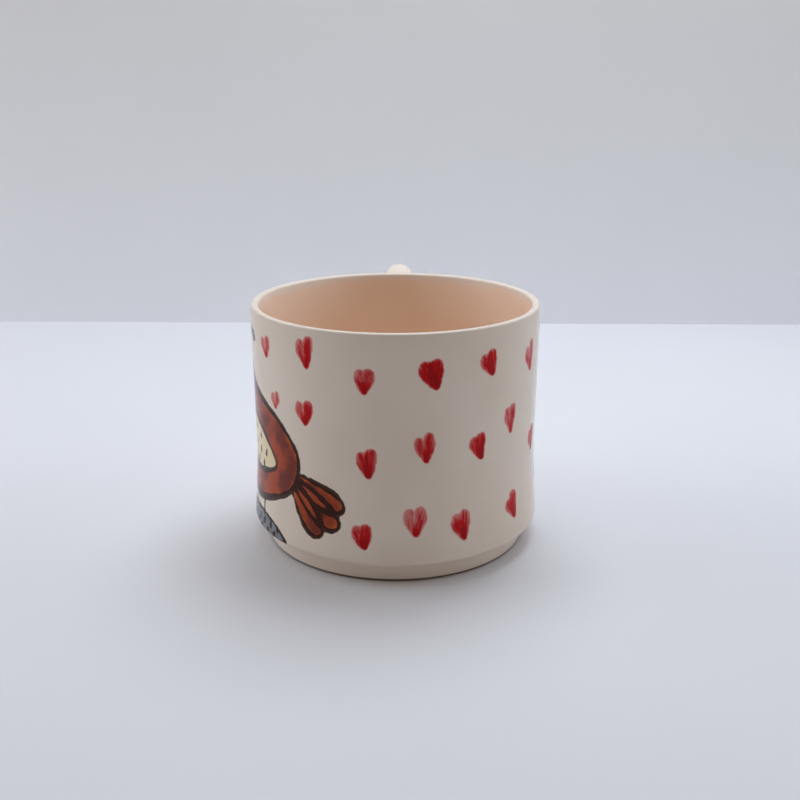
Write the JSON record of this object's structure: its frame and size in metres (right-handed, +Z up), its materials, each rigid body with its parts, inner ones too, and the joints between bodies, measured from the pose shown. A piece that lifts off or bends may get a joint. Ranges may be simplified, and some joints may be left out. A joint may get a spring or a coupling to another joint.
{
  "type": "painted mug",
  "caption": "Straight-sided glazed ceramic mug with an inset foot ring, a rounded lip, a looped strap handle and a peach inside.",
  "frame": {"origin": "centre of the foot ring, on the plane the mug stands on", "axes": "+Z up, +Y from the middle of the mug out through the handle"},
  "size_m": [0.0884, 0.1227, 0.0736],
  "materials": {
    "glaze": "glossy clear glaze over an ivory body, hand-painted outside, peach inside"
  },
  "bodies": {
    "root": {"mug": "glaze"}
  },
  "joints": []
}
